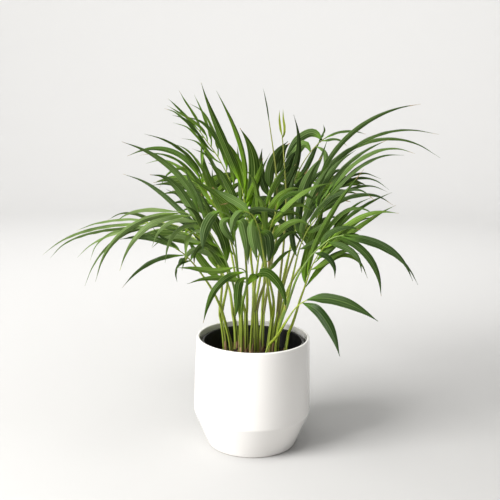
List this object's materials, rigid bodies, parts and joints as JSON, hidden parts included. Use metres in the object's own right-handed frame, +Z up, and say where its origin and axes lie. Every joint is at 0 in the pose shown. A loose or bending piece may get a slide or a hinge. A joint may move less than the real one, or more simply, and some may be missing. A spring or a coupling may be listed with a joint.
{
  "type": "potted areca palm",
  "caption": "Feathery palm with arching fronds growing from sheathed canes in a dark soil-filled nursery pot, stood inside a smooth glazed cover pot with a tapered foot.",
  "frame": {"origin": "centre of the cover pot's flat underside, on the floor", "axes": "+Z up, +X to the right and +Y away from the viewer, as the picture shows the plant"},
  "size_m": [0.5802, 0.4784, 0.5394],
  "materials": {
    "white_glaze": "gloss",
    "black_plastic": "satin",
    "potting_soil": "matte",
    "green_stem": "satin",
    "leaf_green": "satin",
    "dry_sheath": "matte"
  },
  "bodies": {
    "root": {"cover_pot": "white_glaze", "nursery_pot": "black_plastic", "potting_soil": "potting_soil", "dry_sheath_left": "dry_sheath", "dry_sheath_middle": "dry_sheath", "dry_sheath_right": "dry_sheath", "cane_back_left": "green_stem", "cane_back_middle": "green_stem", "cane_back_right": "green_stem", "cane_centre": "green_stem", "cane_centre_back": "green_stem", "cane_centre_left": "green_stem", "cane_centre_right": "green_stem", "cane_centre_thin": "green_stem", "cane_left_front": "green_stem", "cane_left_outer": "green_stem", "cane_low_leaf": "green_stem", "cane_right_dark": "green_stem", "cane_right_front": "green_stem", "cane_right_thin": "green_stem", "cane_right_yellow": "green_stem", "frond_back_centre": "leaf_green", "frond_back_left_high": "leaf_green", "frond_back_left_low": "leaf_green", "frond_back_middle_high": "leaf_green", "frond_back_middle_low": "leaf_green", "frond_back_right": "leaf_green", "frond_back_right_high": "leaf_green", "frond_back_right_low": "leaf_green", "frond_centre_fill": "leaf_green", "frond_centre_hanging": "leaf_green", "frond_centre_up": "leaf_green", "frond_front_arch": "leaf_green", "frond_front_low": "leaf_green", "frond_left_arch": "leaf_green", "frond_left_high": "leaf_green", "frond_left_long": "leaf_green", "frond_left_low": "leaf_green", "frond_left_mid": "leaf_green", "frond_right_arch": "leaf_green", "frond_right_droop": "leaf_green", "frond_right_lower": "leaf_green", "frond_right_mid": "leaf_green", "frond_right_pale": "leaf_green", "frond_right_upper": "leaf_green", "frond_upper_left": "leaf_green", "leaf_low_bifid": "leaf_green", "needle_leaf": "leaf_green", "spear_leaf": "leaf_green"}
  },
  "joints": []
}
